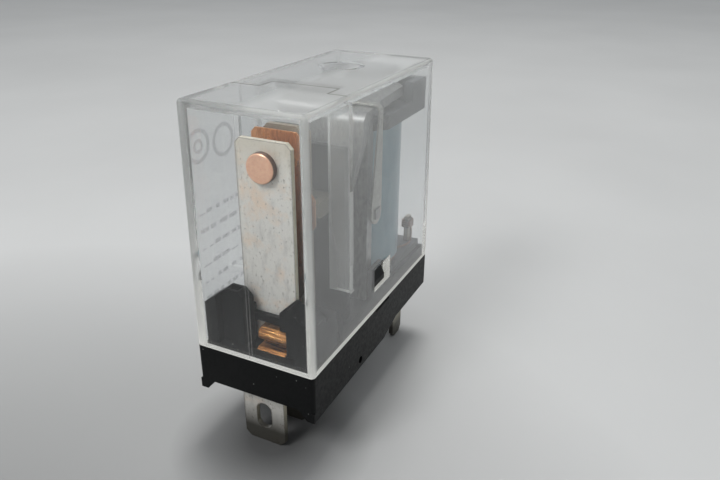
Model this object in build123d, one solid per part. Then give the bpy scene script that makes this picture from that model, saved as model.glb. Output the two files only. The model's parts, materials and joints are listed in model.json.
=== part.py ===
from build123d import *
import math
import os

# A slim single-pole plug-in relay: a clear case over a black base, a changeover
# contact set at the front and a coil with a hinged armature at the rear.
#
# Frame: +X runs from the contact end to the coil end, +Z is up, Y = 0 is the middle plane.
# Heights below are measured from the seat, the underside of the feet.  Each piece is lifted
# by BLADE_LENGTH as it is written, so the blade tips stand at z = 0, under the middle of
# the case.  The relay is drawn released: the coil is off and the rear contact is closed.

# ---- overall ----
LENGTH = 29.0
WIDTH = 13.0
BODY_HEIGHT = 29.2           # seat to the top of the case
RIM_Z = 5.05                 # top of the base's outer rim, where the case stands
FOOT_HEIGHT = 1.05
BLADE_LENGTH = 5.5           # blades below the seat
SHEET = 0.5                  # terminal sheet
FIT = 0.03                   # gap round a piece that sits in a slot

# ---- case ----
WALL = 0.85
DRAFT = 0.27                 # how far each side leans in over the case's height
CASE_EDGE_R = 0.4
RIB_X = (-6.3, -5.6)         # side ribs between the contact space and the coil space
RIB_REACH_Y = 3.3            # free half-width between the side ribs
RIB_FOOT_Z = 9.8
ROOF_RIB_X = (-3.7, -3.0)
ROOF_RIB_Z = 26.9
WINDOW_X = (-1.2, 2.0)
WINDOW_Z = (7.45, 9.9)
GATE_MARK = (5.1, 0.6)       # round mark in the roof
GATE_R = 2.4

# ---- base ----
DECK_Z = 5.5
PLUG_X = LENGTH / 2 - WALL - 0.05
PLUG_Y = WIDTH / 2 - WALL - 0.05
FOOT_FLAT = 0.78             # flat sole of a foot, across its width
FOOT_SLOPE = 0.92            # width of the slope behind the sole
SKIRT_END_X = (1.5, 5.0)     # where the long feet slope up, at the seat and at the underside
POST_TOP_Z = 11.2
POST_SHOULDER_Y = 3.7        # where a post's top starts to slope down to its outer side
POST_SHOULDER_Z = 9.8
POST_CORNER_X = -13.5        # front of the posts' outer corners
POST_CORNER_Y = 4.2
POST_FACE_X = -12.7          # front of the posts
POST_STEP_X = -11.9          # where a post steps in towards the middle
POST_LIP_X = -11.3           # back of the posts, front of the lips
LEFT_POST_Y = (1.8, 1.45)   # inner sides of the front and back tiers
RIGHT_POST_Y = (2.9, 1.75)
SINK_X = (-12.4, -11.6)      # shallow sink in the left post's top
SINK_Y = (2.4, 3.6)
SINK_DEPTH = 0.45
LIP_Y = 1.65
LIP_BACK_X = -9.1
LIP_TOP_Z = 9.3              # top of the lips that hold the front plate's edges
CROSSBAR_Z = (7.7, 8.5)
PIT_Y = (-2.75, 1.4)         # pit for the front link, which runs in under the right post
PIT_Z = (3.4, 7.65)
BARRIER_X = (-5.3, -4.5)
BARRIER_TOP_Z = 24.0
TONGUE_X = (-1.05, 1.85)
TONGUE_Z = 9.7
TONGUE_REACH = 6.2

# ---- blades ----
CONTACT_BLADE = 4.7
COIL_BLADE = 2.6
FRONT_BLADE_X = -13.0
COMMON_BLADE_X = -8.75
REAR_BLADE_X = -3.75
COIL_BLADE_X = (9.7, 12.3)
COIL_BLADE_Y = 4.0
TIP_CHAMFER = 0.6
BLADE_SHOULDER = 0.45        # step from a contact blade to its shank, on each side
BLADE_HEAD_Z = 4.9           # top of the front blade's shank
EYE_WIDTH = 1.7
EYE_LENGTH = 3.0
EYE_Z = -2.35

# ---- contacts ----
CONTACT_Z = 23.2
FRONT_HEAD_R = 1.42          # the front contact's outer head
FRONT_HEAD = 0.65
BACK_HEAD = 0.4              # its head behind the plate, under the silver face
HEAD_R = 1.52
SHANK_R = 0.75
PLATE_FACE_X = -10.65        # front of the front contact plate
PLATE_TOP_Z = 25.6
PLATE_WIDTH = 5.75
PLATE_LEG_Y = 2.0            # inner sides of the plate's two legs
SPRING_FRONT_X = -8.5
SPRING_SHEET = 0.2
SPRING_WIDTH = 5.1
SPRING_TOP_Z = 26.0
SPRING_PIVOT_Z = 8.6         # top of the common terminal's tab, where the spring bends
REAR_PLATE_X = -7.45         # front of the rear contact plate
REAR_PLATE_WIDTH = 4.0
REAR_PLATE_TOP_Z = 26.2
CONTACT_GAP = 0.55
TOUCH_GAP = 0.02             # gap kept between faces that only touch
MOVING_HEAD = 0.2            # thickness of the moving rivet's heads under their domed faces
CROWN = 0.15                 # height of the moving contacts' domed faces
CROWN_RIM = 0.05             # straight part of that height, round the dome's edge

# ---- front link ----
LINK_SHEET = 0.4
LINK_Y = (-2.6, 0.5)
LINK_Z = (7.3, 6.35, 5.4)    # its three levels, from the plate down
LINK_NOSE_X = -12.1
LINK_BACK_X = -10.95
LINK_FOLD_R = 0.45

# ---- magnet ----
COIL_X = 6.4
CORE_R = 2.0
SPOOL_R = 2.7
WINDING_R = 4.7
TAPE = 0.17
FLANGE_X = (1.4, 13.1)
FLANGE_Y = 5.2
FLANGE_CUT = 1.5             # the flanges' cut front corners
REAR_BLOCK_X = 9.3           # front of the bobbin's rear blocks
REAR_BLOCK_TOP_Z = 27.3
YOKE_SHEET = 1.2
YOKE_FRONT_X = -0.4
YOKE_Y = 4.5
POLE_R = 3.5
PIVOT_Z = 25.25              # top edge of the yoke
SPOOL_Z = (DECK_Z + YOKE_SHEET, 24.6)
FLANGE = 0.8
LUG_X = 0.65                 # lugs on the yoke's sides that the hinge spring hooks on
LUG_Z = 15.6
LUG = 1.1
ARMATURE_SHEET = 1.0
ARMATURE_LENGTH = 10.6
ARMATURE_STROKE = 4.0        # degrees from released to pulled in
LEG_SLANT = 8.0              # forward slant of the armature's leg when released, degrees
CLIP_X = (-0.55, 1.8)        # the hinge spring's legs at their wide end
CLIP_Y = 5.0
CLIP_TOP_Z = 26.6
CLIP_LEG_Z = 25.2            # where the legs start to widen
CLIP_BAR = 0.85
CLIP_SHEET = 0.2
CLIP_EYE_R = 1.2
CARD_Z = 18.5
CARD_THICK = 1.6
CARD_Y = (2.3, 3.1)          # inner and outer sides of the card's two fingers

SWING = math.radians(ARMATURE_STROKE)


def block(x, y, z):
    """A box from its low and high X, Y and Z."""
    spans = (x, y, z)
    centre = [(low + high) / 2 for low, high in spans]
    size = [high - low for low, high in spans]
    return Pos(*centre) * Box(*size)


def mirrored(shape):
    """The shape with its mirror image across the middle plane."""
    return shape + mirror(shape, about=Plane.XZ)


def group(shapes):
    """Several separate solids kept together as one piece."""
    return Compound([solid for shape in shapes for solid in shape.solids()])


def sheet_x(outline, x_low, thickness):
    """A flat sheet facing X, from an outline of (y, z) points."""
    face = make_face(Polyline(*outline, close=True))
    plane = Plane(origin=(x_low, 0, 0), x_dir=(0, 1, 0), z_dir=(1, 0, 0))
    return extrude(plane * face, amount=thickness)


def sheet_y(outline, y_low, thickness):
    """A flat sheet facing Y, from an outline of (x, z) points."""
    face = make_face(Polyline(*outline, close=True))
    plane = Plane(origin=(0, y_low + thickness, 0), x_dir=(1, 0, 0), z_dir=(0, -1, 0))
    return extrude(plane * face, amount=thickness)


def disc_x(radius, x, z=CONTACT_Z):
    """A round piece along X on the contact line, from its low and high X."""
    turned = Pos((x[0] + x[1]) / 2, 0, z) * Rot(0, 90, 0)
    return turned * Cylinder(radius, x[1] - x[0])


def strip(path, width, thickness):
    """A flat strip, wide along Y, bent along a path in the XZ plane."""
    start = Plane(origin=path @ 0, x_dir=(0, 1, 0), z_dir=path % 0)
    return sweep(start * Rectangle(width, thickness), path=path)


def crown_x(x_face, direction):
    """A domed contact face; it stands CROWN proud of x_face towards -X or +X."""
    rim, top = x_face + direction * CROWN_RIM, x_face + direction * CROWN
    outline = [
        Line((top, 0), (x_face, 0)),
        Line((x_face, 0), (x_face, HEAD_R)),
        Line((x_face, HEAD_R), (rim, HEAD_R)),
        TangentArc((top, 0), (rim, HEAD_R), tangent=(0, 1)),
    ]
    return Pos(0, 0, CONTACT_Z) * revolve(make_face(outline), axis=Axis.X)


def both_sides(right):
    """A whole outline from its right half, given from the bottom up."""
    return right + [(-y, z) for y, z in reversed(right)]


def contact_blade(x_middle, top_z):
    """A blade with a chamfered tip and a long eye; above the underside it is a narrower shank."""
    half = CONTACT_BLADE / 2
    shank = half - BLADE_SHOULDER
    right = [
        (half - TIP_CHAMFER, -BLADE_LENGTH),
        (half, -BLADE_LENGTH + TIP_CHAMFER),
        (half, FOOT_HEIGHT),
        (shank, FOOT_HEIGHT),
        (shank, top_z),
    ]
    eye_r = EYE_WIDTH / 2
    straight = (EYE_LENGTH - EYE_WIDTH) / 2
    through = (x_middle - 1, x_middle + 1)
    eye = block(through, (-eye_r, eye_r), (EYE_Z - straight, EYE_Z + straight))
    eye += disc_x(eye_r, through, EYE_Z - straight) + disc_x(eye_r, through, EYE_Z + straight)
    return sheet_x(both_sides(right), x_middle - SHEET / 2, SHEET) - eye


# ---- case and base ----

def case():
    height = BODY_HEIGHT - RIM_Z
    lean = math.degrees(math.atan(DRAFT / height))
    shell = Pos(0, 0, RIM_Z) * extrude(Rectangle(LENGTH, WIDTH), amount=height, taper=lean)
    shell = fillet(shell.edges().filter_by(Axis.Z, tolerance=3), CASE_EDGE_R)
    shell = fillet(shell.edges().group_by(Axis.Z)[-1], CASE_EDGE_R)
    inside = Rectangle(LENGTH - 2 * WALL, WIDTH - 2 * WALL)
    shell -= Pos(0, 0, RIM_Z) * extrude(inside, amount=height - WALL, taper=lean)

    inner_y = WIDTH / 2 - WALL + 0.1
    roof_z = BODY_HEIGHT - WALL + 0.1
    side_rib = block(RIB_X, (RIB_REACH_Y, inner_y - DRAFT), (RIB_FOOT_Z, roof_z))
    jog = block((RIB_X[0], ROOF_RIB_X[1]), (RIB_REACH_Y, RIB_REACH_Y + 0.6), (ROOF_RIB_Z, roof_z))
    roof_rib = block(ROOF_RIB_X, (-RIB_REACH_Y, RIB_REACH_Y), (ROOF_RIB_Z, roof_z))
    shell += mirrored(side_rib) + mirrored(jog) + roof_rib

    shell -= block(WINDOW_X, (-WIDTH, WIDTH), WINDOW_Z)
    bevel = [
        (WINDOW_X[1] - 0.5, WINDOW_Z[1]),
        (WINDOW_X[1] + 0.75, WINDOW_Z[1] + 0.1),
        (WINDOW_X[1] + 0.75, WINDOW_Z[0]),
        (WINDOW_X[1] - 0.5, WINDOW_Z[0]),
    ]
    shell -= mirrored(sheet_y(bevel, WIDTH / 2 - 0.45, 1))
    mark = Cylinder(GATE_R, 0.2) - Cylinder(GATE_R - 0.5, 0.2)
    return shell - Pos(*GATE_MARK, BODY_HEIGHT) * mark


def feet():
    """Two long feet under the contact half, each with a sloped inner side."""
    outer = WIDTH / 2
    sole = outer - FOOT_FLAT
    outline = [(outer, 0), (sole, 0), (sole - FOOT_SLOPE, FOOT_HEIGHT), (outer, FOOT_HEIGHT)]
    foot = sheet_x(outline, -LENGTH / 2, LENGTH / 2 + SKIRT_END_X[1])
    low_x, high_x = SKIRT_END_X
    past = high_x + 1
    end = [(low_x, -1), (low_x, 0), (high_x, FOOT_HEIGHT), (past, FOOT_HEIGHT), (past, -1)]
    return mirrored(foot - sheet_y(end, 0, WIDTH))


def post_tier(sign, x, y_inner, cut):
    """One post's outline between two X; its inner corner is cut at 45 degrees."""
    outer = PLUG_Y - 0.05
    top = [
        (y_inner, DECK_Z),
        (y_inner, POST_TOP_Z - cut),
        (y_inner + cut, POST_TOP_Z),
        (POST_SHOULDER_Y, POST_TOP_Z),
        (outer, POST_SHOULDER_Z),
        (outer, DECK_Z),
    ]
    return sheet_x([(sign * y, z) for y, z in top], x[0], x[1] - x[0])


def posts():
    """The two front posts, the lips behind them that hold the front plate, and their bar."""
    front, back = (POST_FACE_X, POST_STEP_X), (POST_STEP_X, POST_LIP_X)
    body = post_tier(1, front, LEFT_POST_Y[0], 0.5) + post_tier(1, back, LEFT_POST_Y[1], 0.75)
    body += post_tier(-1, front, RIGHT_POST_Y[0], 0.75) + post_tier(-1, back, RIGHT_POST_Y[1], 1.6)
    outer = PLUG_Y - 0.05
    body += mirrored(block((POST_CORNER_X, POST_FACE_X), (POST_CORNER_Y, outer), (DECK_Z, POST_TOP_Z)))
    slope = [(POST_SHOULDER_Y, POST_TOP_Z), (outer, POST_SHOULDER_Z), (outer + 1, POST_TOP_Z)]
    body -= mirrored(sheet_x(slope, POST_CORNER_X - 1, 2 + POST_FACE_X - POST_CORNER_X))
    body += mirrored(block((POST_LIP_X, LIP_BACK_X), (LIP_Y, outer), (DECK_Z, LIP_TOP_Z)))
    body += block((POST_LIP_X + 0.1, PLATE_FACE_X - FIT), (-LIP_Y - 0.1, LIP_Y + 0.1), CROSSBAR_Z)

    half = PLATE_WIDTH / 2 + FIT
    groove_x = (PLATE_FACE_X - FIT, PLATE_FACE_X + SHEET + FIT)
    body -= block(groove_x, (-half, half), (DECK_Z, POST_TOP_Z + 1))
    body -= block((groove_x[1], LIP_BACK_X + 0.1), (-2.2, 2.2), (DECK_Z, POST_TOP_Z + 1))
    return body - block(SINK_X, SINK_Y, (POST_TOP_Z - SINK_DEPTH, POST_TOP_Z + 1))


def barrier():
    """The insulating wall between contacts and coil, with a window for the card."""
    wall = block(BARRIER_X, (-4.6, 4.6), (DECK_Z, BARRIER_TOP_Z))
    span = CARD_Y[1] + 0.15
    through = (BARRIER_X[0] - 1, BARRIER_X[1] + 1)
    wall -= block(through, (-span, span), (CARD_Z - 1.0, CARD_Z + 1.0))
    run = REAR_PLATE_WIDTH / 2 + 0.1
    return wall - block(through, (-run, run), (DECK_Z, DECK_Z + SHEET + 0.1))


def tongues():
    """Latch tongues that snap into the case's windows."""
    root_y, face_y = 4.85, PLUG_Y
    tongue = block(TONGUE_X, (root_y, face_y), (RIM_Z, TONGUE_Z))
    catch = [
        (face_y, WINDOW_Z[0] + 0.15),
        (TONGUE_REACH, WINDOW_Z[0] + 0.15),
        (TONGUE_REACH, WINDOW_Z[0] + 0.75),
        (face_y, TONGUE_Z - 0.1),
    ]
    tongue += sheet_x(catch, TONGUE_X[0], TONGUE_X[1] - TONGUE_X[0])
    return mirrored(tongue)


def terminal_slots():
    """Slots through the floor for the blades and the front plate's two legs."""
    half = CONTACT_BLADE / 2 - BLADE_SHOULDER + FIT
    reach = SHEET / 2 + FIT
    cuts = block((FRONT_BLADE_X - reach, FRONT_BLADE_X + reach), (-half, half), (-1, BLADE_HEAD_Z + FIT))
    for x in (COMMON_BLADE_X, REAR_BLADE_X):
        cuts += block((x - reach, x + reach), (-half, half), (-1, DECK_Z + 1))
    cuts += block((REAR_BLADE_X - 0.9, REAR_BLADE_X), (-half, half), (DECK_Z - 0.7, DECK_Z + 1))
    slot_y = (COIL_BLADE_Y - reach, COIL_BLADE_Y + reach)
    cuts += mirrored(block((COIL_BLADE_X[0] - FIT, 12.9 + FIT), slot_y, (-1, DECK_Z + 1)))
    leg_x = (PLATE_FACE_X - FIT, PLATE_FACE_X + SHEET + FIT)
    cuts += mirrored(block(leg_x, (PLATE_LEG_Y - FIT, PLATE_WIDTH / 2 + FIT), (4.2, DECK_Z + 1)))
    return cuts


def base():
    rim_z = RIM_Z - FIT
    outer = block((-LENGTH / 2, LENGTH / 2), (-WIDTH / 2, WIDTH / 2), (FOOT_HEIGHT, rim_z))
    outer = fillet(outer.edges().filter_by(Axis.Z), CASE_EDGE_R)
    body = outer + feet()
    body += block((-PLUG_X, PLUG_X), (-PLUG_Y, PLUG_Y), (RIM_Z - 1, DECK_Z))
    side_wall = block((-8.6, PLUG_X), (5.1, PLUG_Y), (DECK_Z - 0.1, DECK_Z + 1.1))
    rear_wall = block((PLUG_X - 0.4, PLUG_X), (-PLUG_Y, PLUG_Y), (DECK_Z - 0.1, DECK_Z + 1.1))
    body += mirrored(side_wall) + rear_wall
    body += posts() + barrier() + tongues()

    body -= block((FRONT_BLADE_X + SHEET / 2, PLATE_FACE_X - FIT), PIT_Y, PIT_Z)
    body -= terminal_slots()
    body -= mirrored(block((-0.8, 2.7), (WIDTH / 2 - 0.5, WIDTH), (RIM_Z - 0.4, RIM_Z + 0.1)))
    gate = Pos(-4.56, -WIDTH / 2, 0.95) * Rot(90, 0, 0) * Cylinder(0.4, 0.6)
    return body - gate


# ---- contact set ----

def front_contact_plate():
    half, cut = PLATE_WIDTH / 2, 0.5
    right = [
        (PLATE_LEG_Y, DECK_Z + 0.2),
        (PLATE_LEG_Y, 4.3),
        (half, 4.3),
        (half, PLATE_TOP_Z - cut),
        (half - cut, PLATE_TOP_Z),
    ]
    plate = sheet_x(both_sides(right), PLATE_FACE_X, SHEET)
    return plate - disc_x(SHANK_R, (PLATE_FACE_X - 1, PLATE_FACE_X + 1))


def front_blade():
    return contact_blade(FRONT_BLADE_X, BLADE_HEAD_Z)


def front_link():
    """A folded strip of soft copper from the plate's foot to the head of the front blade."""
    end_x = FRONT_BLADE_X + (SHEET + LINK_SHEET) / 2
    path = FilletPolyline(
        (PLATE_FACE_X, 0, LINK_Z[0]),
        (LINK_NOSE_X, 0, LINK_Z[0]),
        (LINK_NOSE_X, 0, LINK_Z[1]),
        (LINK_BACK_X, 0, LINK_Z[1]),
        (LINK_BACK_X, 0, LINK_Z[2]),
        (end_x, 0, LINK_Z[2]),
        (end_x, 0, PIT_Z[0] + 0.15),
        radius=LINK_FOLD_R,
    )
    return Pos(0, (LINK_Y[0] + LINK_Y[1]) / 2, 0) * strip(path, LINK_Y[1] - LINK_Y[0], LINK_SHEET)


def front_contact():
    head = disc_x(FRONT_HEAD_R, (PLATE_FACE_X - FRONT_HEAD, PLATE_FACE_X))
    head = fillet(head.edges().group_by(Axis.X)[0], 0.18)
    plate_back = PLATE_FACE_X + SHEET
    back_head = disc_x(HEAD_R, (plate_back, plate_back + BACK_HEAD))
    return head + disc_x(SHANK_R, (PLATE_FACE_X, plate_back)) + back_head


def front_contact_tip():
    back = SPRING_FRONT_X - 0.35 - CONTACT_GAP - TOUCH_GAP
    tip = disc_x(HEAD_R, (PLATE_FACE_X + SHEET + BACK_HEAD, back))
    return chamfer(tip.edges().group_by(Axis.X)[-1], 0.1)


def common_terminal():
    """A straight terminal: its tab carries the moving spring, its lower end is a blade."""
    return contact_blade(COMMON_BLADE_X, SPRING_PIVOT_Z)


def moving_spring():
    """The contact leaf, with two ears at the height where the card pushes it."""
    half, foot, ear, cut = SPRING_WIDTH / 2, 2.0, CARD_Y[1], 0.45
    right = [
        (foot, 6.3),
        (foot, 9.4),
        (half, 10.4),
        (half, CARD_Z - 2.0),
        (ear, CARD_Z - 1.3),
        (ear, CARD_Z + 1.3),
        (half, CARD_Z + 2.0),
        (half, SPRING_TOP_Z - cut),
        (half - cut, SPRING_TOP_Z),
    ]
    leaf = sheet_x(both_sides(right), SPRING_FRONT_X, SPRING_SHEET)
    return leaf - disc_x(SHANK_R, (SPRING_FRONT_X - 1, SPRING_FRONT_X + 1))


def moving_contact():
    back = SPRING_FRONT_X + SPRING_SHEET
    body = disc_x(SHANK_R, (SPRING_FRONT_X, back))
    body += disc_x(HEAD_R, (SPRING_FRONT_X - MOVING_HEAD, SPRING_FRONT_X))
    return body + disc_x(HEAD_R, (back, back + MOVING_HEAD))


def moving_contact_tips():
    front = crown_x(SPRING_FRONT_X - MOVING_HEAD, -1)
    rear = crown_x(SPRING_FRONT_X + SPRING_SHEET + MOVING_HEAD, 1)
    return group([front, rear])


def rear_contact_terminal():
    """The rear contact plate, its run along the deck and its blade, from one strip."""
    mid_x = REAR_PLATE_X + SHEET / 2
    run_z = DECK_Z + SHEET / 2
    path = FilletPolyline(
        (mid_x, 0, REAR_PLATE_TOP_Z),
        (mid_x, 0, run_z),
        (REAR_BLADE_X, 0, run_z),
        (REAR_BLADE_X, 0, FOOT_HEIGHT),
        radius=0.6,
    )
    body = strip(path, REAR_PLATE_WIDTH - 0.2, SHEET)
    half, cut = REAR_PLATE_WIDTH / 2, 0.5
    right = [(half, 7.2), (half, REAR_PLATE_TOP_Z - cut), (half - cut, REAR_PLATE_TOP_Z)]
    body += sheet_x(both_sides(right), REAR_PLATE_X, SHEET)
    for side in (-1, 1):
        corner = [
            (half, REAR_PLATE_TOP_Z - cut),
            (half - cut, REAR_PLATE_TOP_Z),
            (half, REAR_PLATE_TOP_Z + 0.1),
        ]
        body -= sheet_x([(side * y, z) for y, z in corner], REAR_PLATE_X - 1, 3)
    body += contact_blade(REAR_BLADE_X, FOOT_HEIGHT + 0.5)
    return body - disc_x(SHANK_R, (REAR_PLATE_X - 1, REAR_PLATE_X + 1))


def rear_contact():
    back = REAR_PLATE_X + SHEET
    tail = disc_x(1.1, (back, back + 0.45))
    tail = chamfer(tail.edges().group_by(Axis.X)[-1], 0.15)
    return disc_x(HEAD_R, (REAR_PLATE_X - 0.2, REAR_PLATE_X)) + disc_x(SHANK_R, (REAR_PLATE_X, back)) + tail


def rear_contact_tip():
    spring_back = SPRING_FRONT_X + SPRING_SHEET + MOVING_HEAD + CROWN
    tip = disc_x(HEAD_R, (spring_back + TOUCH_GAP, REAR_PLATE_X - 0.2))
    return chamfer(tip.edges().group_by(Axis.X)[0], 0.1)


# ---- drive ----

def leg_length():
    """Length of the armature's leg that puts the middle of its nose at the card's height."""
    slant = math.radians(LEG_SLANT)
    half = ARMATURE_SHEET / 2
    return (PIVOT_Z - CARD_Z + half * math.sin(slant)) / math.cos(slant)


def nose_x(angle):
    """X of the front of the armature's nose, at an angle in radians from released."""
    slant = math.radians(LEG_SLANT) + angle
    half = ARMATURE_SHEET / 2
    return YOKE_FRONT_X - half * math.cos(slant) - leg_length() * math.sin(slant) - half


CARD_TRAVEL = nose_x(0) - nose_x(SWING)
SPRING_SWING = math.asin(CONTACT_GAP / (CONTACT_Z - SPRING_PIVOT_Z))
CARD_FRONT_X = (SPRING_FRONT_X + SPRING_SHEET + CARD_TRAVEL + TOUCH_GAP
                - (CARD_Z - SPRING_PIVOT_Z) * math.sin(SPRING_SWING))


def pusher_card():
    """A fork that passes round the rear contact plate and pushes the moving spring's ears."""
    half = CARD_THICK / 2
    z = (CARD_Z - half, CARD_Z + half)
    round_x = CARD_FRONT_X + half
    finger = block((round_x, -6.4), CARD_Y, z)
    nose = Pos(round_x, (CARD_Y[0] + CARD_Y[1]) / 2, CARD_Z) * Rot(90, 0, 0)
    finger += nose * Cylinder(half, CARD_Y[1] - CARD_Y[0])
    web = block((-6.4, nose_x(0) - 0.04), (-CARD_Y[1], CARD_Y[1]), z)
    web -= block((-4.0, -3.2), (-1.6, 1.6), (CARD_Z + 0.3, CARD_Z + 2))
    return mirrored(finger) + web


def armature():
    """An L of soft iron that rocks on the yoke's top edge, drawn released."""
    leg, sheet = leg_length(), ARMATURE_SHEET
    plan = [
        (-sheet, -YOKE_Y),
        (2.4, -YOKE_Y),
        (3.6, -4.1),
        (ARMATURE_LENGTH - 1, -4.1),
        (ARMATURE_LENGTH, -3.1),
    ]
    outline = Polyline(*plan, *[(x, -y) for x, y in reversed(plan)], close=True)
    top = extrude(make_face(outline), amount=sheet)
    top -= block((-sheet - 1, 0), (-9, 9), (-1, 3))
    corner = Rot(90, 0, 0) * Cylinder(sheet, 2 * YOKE_Y)
    corner -= block((-0.001, 2), (-9, 9), (-2, 0))
    lower = Pos(-sheet / 2, 0, -leg) * Rot(90, 0, 0) * Cylinder(sheet / 2, 2 * YOKE_Y)
    hanging = block((-sheet, 0), (-YOKE_Y, YOKE_Y), (-leg, 0)) + lower
    taper = [(-YOKE_Y, -2.0), (-3.2, -leg - 1), (-9, -leg - 1), (-9, -2.0)]
    hanging -= mirrored(sheet_x(taper, -2, 3))
    corner -= Rot(0, LEG_SLANT + ARMATURE_STROKE, 0) * block((-0.001, 2), (-9, 9), (-2, 0))
    shape = top + corner + Rot(0, LEG_SLANT + ARMATURE_STROKE, 0) * hanging
    return Pos(YOKE_FRONT_X, 0, PIVOT_Z) * Rot(0, -ARMATURE_STROKE, 0) * shape


# ---- magnet ----

def yoke():
    upright = block((YOKE_FRONT_X, YOKE_FRONT_X + YOKE_SHEET), (-YOKE_Y, YOKE_Y), (DECK_Z, PIVOT_Z))
    foot = block((YOKE_FRONT_X, 10.6), (-3.4, 3.4), (DECK_Z, DECK_Z + YOKE_SHEET))
    lug = block((LUG_X - LUG / 2, LUG_X + LUG / 2), (YOKE_Y - 0.1, 5.3), (LUG_Z - LUG / 2, LUG_Z + LUG / 2))
    body = upright + foot + mirrored(lug)
    return body - Pos(COIL_X, 0, DECK_Z + YOKE_SHEET / 2) * Cylinder(1.6, YOKE_SHEET)


def core():
    head_z = SPOOL_Z[1]
    pole = Pos(COIL_X, 0, (head_z + PIVOT_Z - 0.05) / 2) * Cylinder(POLE_R, PIVOT_Z - 0.05 - head_z)
    pole = chamfer(pole.edges().group_by(Axis.Z)[-1], 0.15)
    shank = Pos(COIL_X, 0, (SPOOL_Z[0] + head_z) / 2) * Cylinder(CORE_R, head_z - SPOOL_Z[0])
    tail = Pos(COIL_X, 0, DECK_Z + YOKE_SHEET / 2) * Cylinder(1.6, YOKE_SHEET)
    return pole + shank + tail


def flange(z):
    """A bobbin flange with cut front corners, between two heights."""
    front, back = FLANGE_X
    half = [(front, FLANGE_Y - FLANGE_CUT), (front + FLANGE_CUT, FLANGE_Y), (back, FLANGE_Y)]
    outline = Polyline(*half, *[(x, -y) for x, y in reversed(half)], close=True)
    return Pos(0, 0, z[0]) * extrude(make_face(outline), amount=z[1] - z[0])


def bobbin():
    low, high = SPOOL_Z
    spool = Pos(COIL_X, 0, (low + high) / 2) * Cylinder(SPOOL_R, high - low)
    back = FLANGE_X[1]
    rail = block((FLANGE_X[0] + FLANGE_CUT, back), (4.7, FLANGE_Y), (high - 0.1, PIVOT_Z))
    rear_block = block((REAR_BLOCK_X, back), (4.3, FLANGE_Y), (high - 0.1, REAR_BLOCK_TOP_Z))
    rear_wall = block((12.2, back), (-FLANGE_Y, FLANGE_Y), (high - 0.1, REAR_BLOCK_TOP_Z))
    stop = block((9.4, 12.3), (-2.4, 2.4), (27.12, 27.6))
    stop += block((11.3, back), (-2.4, 2.4), (26.5, 27.6))
    body = spool + flange((low, low + FLANGE)) + flange((high - FLANGE, high))
    body += mirrored(rail) + mirrored(rear_block) + rear_wall + stop
    body -= Pos(COIL_X, 0, (low + high) / 2) * Cylinder(CORE_R, high)
    slot = block((11.9 - FIT, 12.9 + FIT), (3.75 - FIT, 4.25 + FIT), (low - 1, low + 2))
    return body - mirrored(slot)


def ring(inner, outer, z):
    body = Cylinder(outer, z[1] - z[0]) - Cylinder(inner, z[1] - z[0] + 1)
    return Pos(COIL_X, 0, (z[0] + z[1]) / 2) * body


def winding():
    return ring(SPOOL_R, WINDING_R, (SPOOL_Z[0] + FLANGE, SPOOL_Z[1] - FLANGE))


def coil_tape():
    return ring(WINDING_R, WINDING_R + TAPE, (SPOOL_Z[0] + FLANGE + 0.55, SPOOL_Z[1] - FLANGE - 0.15))


def coil_terminal(side):
    """A coil blade with a narrow post at its top for the winding's end."""
    low, high = COIL_BLADE_X
    outline = [
        (low + TIP_CHAMFER, -BLADE_LENGTH),
        (high - TIP_CHAMFER, -BLADE_LENGTH),
        (high, -BLADE_LENGTH + TIP_CHAMFER),
        (high, 3.6),
        (12.9, 3.6),
        (12.9, 10.6),
        (11.9, 10.6),
        (11.9, 5.3),
        (low, 5.3),
        (low, -BLADE_LENGTH + TIP_CHAMFER),
    ]
    return sheet_y(outline, side * COIL_BLADE_Y - SHEET / 2, SHEET)


def coil_lead(side):
    """The winding's end: a wire to the post and four turns round it."""
    wire_r, lead_z = 0.12, SPOOL_Z[0] + FLANGE + 0.3
    y = side * COIL_BLADE_Y
    path = FilletPolyline(
        (9.0, side * 4.05, lead_z),
        (10.4, side * 4.9, lead_z),
        (11.7, side * 4.6, 9.3),
        (12.4, side * 4.4, 9.3),
        radius=0.6,
    )
    section = Plane(origin=path @ 0, z_dir=path % 0) * Circle(wire_r)
    lead = sweep(section, path=path)
    half_x, half_y, turn = 0.5, SHEET / 2, 2 * wire_r
    turns = []
    for index in range(4):
        place = Pos(12.4, y, 9.3 + index * (turn + 0.01))
        outer = place * Box(2 * (half_x + turn), 2 * (half_y + turn), turn)
        lead -= outer
        turns.append(outer - place * Box(2 * half_x, 2 * half_y, 1))
    return group([lead] + turns)


def hinge_spring():
    """A clip over the armature's corner; its legs widen down to eyes on the yoke's lugs."""
    path = FilletPolyline(
        (CLIP_X[1] - CLIP_BAR / 2, -CLIP_Y, CLIP_LEG_Z),
        (CLIP_X[1] - CLIP_BAR / 2, -CLIP_Y, CLIP_TOP_Z),
        (CLIP_X[1] - CLIP_BAR / 2, CLIP_Y, CLIP_TOP_Z),
        (CLIP_X[1] - CLIP_BAR / 2, CLIP_Y, CLIP_LEG_Z),
        radius=0.6,
    )
    start = Plane(origin=path @ 0, x_dir=(1, 0, 0), z_dir=path % 0)
    clip = sweep(start * Rectangle(CLIP_BAR, CLIP_SHEET), path=path)
    leg = [
        (CLIP_X[1], CLIP_LEG_Z),
        (CLIP_X[1] - CLIP_BAR, CLIP_LEG_Z),
        (CLIP_X[0], LUG_Z + 0.9),
        (CLIP_X[0], LUG_Z),
        (CLIP_X[1], LUG_Z),
    ]
    hole = Box(LUG + 2 * FIT, 4 * CLIP_SHEET, LUG + 2 * FIT)
    for side in (-1, 1):
        centre = Pos(LUG_X, side * CLIP_Y, LUG_Z)
        clip += sheet_y(leg, side * CLIP_Y - CLIP_SHEET / 2, CLIP_SHEET)
        clip += centre * Rot(90, 0, 0) * Cylinder(CLIP_EYE_R, CLIP_SHEET)
        clip -= centre * hole
    return clip


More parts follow.
